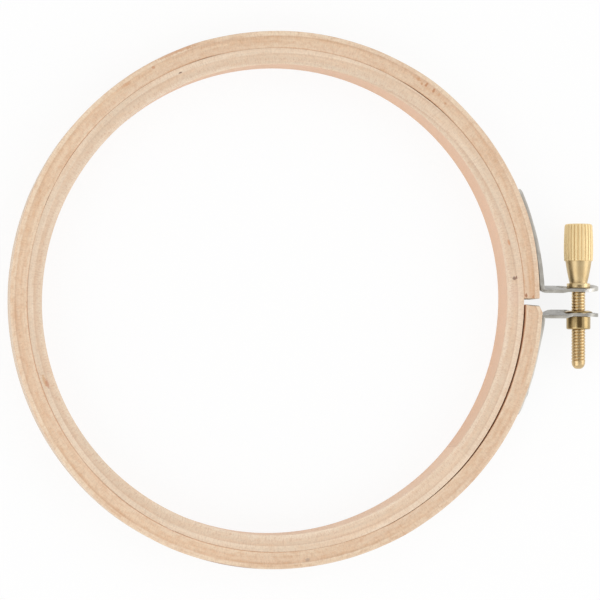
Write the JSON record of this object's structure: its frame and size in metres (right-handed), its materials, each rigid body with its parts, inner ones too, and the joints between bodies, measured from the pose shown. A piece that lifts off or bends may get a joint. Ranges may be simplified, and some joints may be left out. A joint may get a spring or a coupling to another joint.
{
  "type": "embroidery hoop",
  "caption": "Round wooden hoop that holds fabric taut between two rings, with a thumb screw that draws the ends of the split outer ring together.",
  "frame": {"origin": "in the plane the rings lie on, under the middle of the object's box; the common axis of the rings stands 6.625 mm towards -X of it", "axes": "+Z along the axis of the rings, away from the face they lie on; +X from the middle of the rings through the split to the clamp; +Y from the nut to the knob of the thumb screw"},
  "size_m": [0.1218, 0.1086, 0.008],
  "materials": {
    "inner_beech": "bare sanded beech, pale",
    "outer_beech": "bare sanded beech",
    "nickelled_steel": "satin nickel plate",
    "turned_brass": "bright turned brass"
  },
  "bodies": {
    "outer": {"outer_ring": "outer_beech", "upper_bracket": "nickelled_steel", "upper_tack_1": "nickelled_steel", "upper_tack_2": "nickelled_steel"},
    "inner": {"inner_ring": "inner_beech"},
    "lower_end": {"lower_bracket": "nickelled_steel", "lower_tack_1": "nickelled_steel", "lower_tack_2": "nickelled_steel", "clamp_nut": "turned_brass"},
    "screw": {"thumb_screw": "turned_brass"}
  },
  "joints": [
    {"name": "screw_turn", "type": "hinge", "parent": "outer", "child": "screw", "pos_m": [0.05688, 0, 0.004], "axis": [0, 1, 0], "range_deg": [0, 2160]},
    {"name": "ring_flex", "type": "hinge", "parent": "outer", "child": "lower_end", "pos_m": [-0.05922, 0, 0.004], "axis": [0, 0, -1], "range_deg": [0, 1.9], "deforming": ["outer_ring"]},
    {"name": "inner_ring_lift", "type": "slide", "parent": "outer", "child": "inner", "axis": [0, 0, 1], "range_m": [0, 0.012]}
  ],
  "couplings": [
    {"joint": "ring_flex", "follows": "screw_turn", "ratio": 0.00087049}
  ]
}
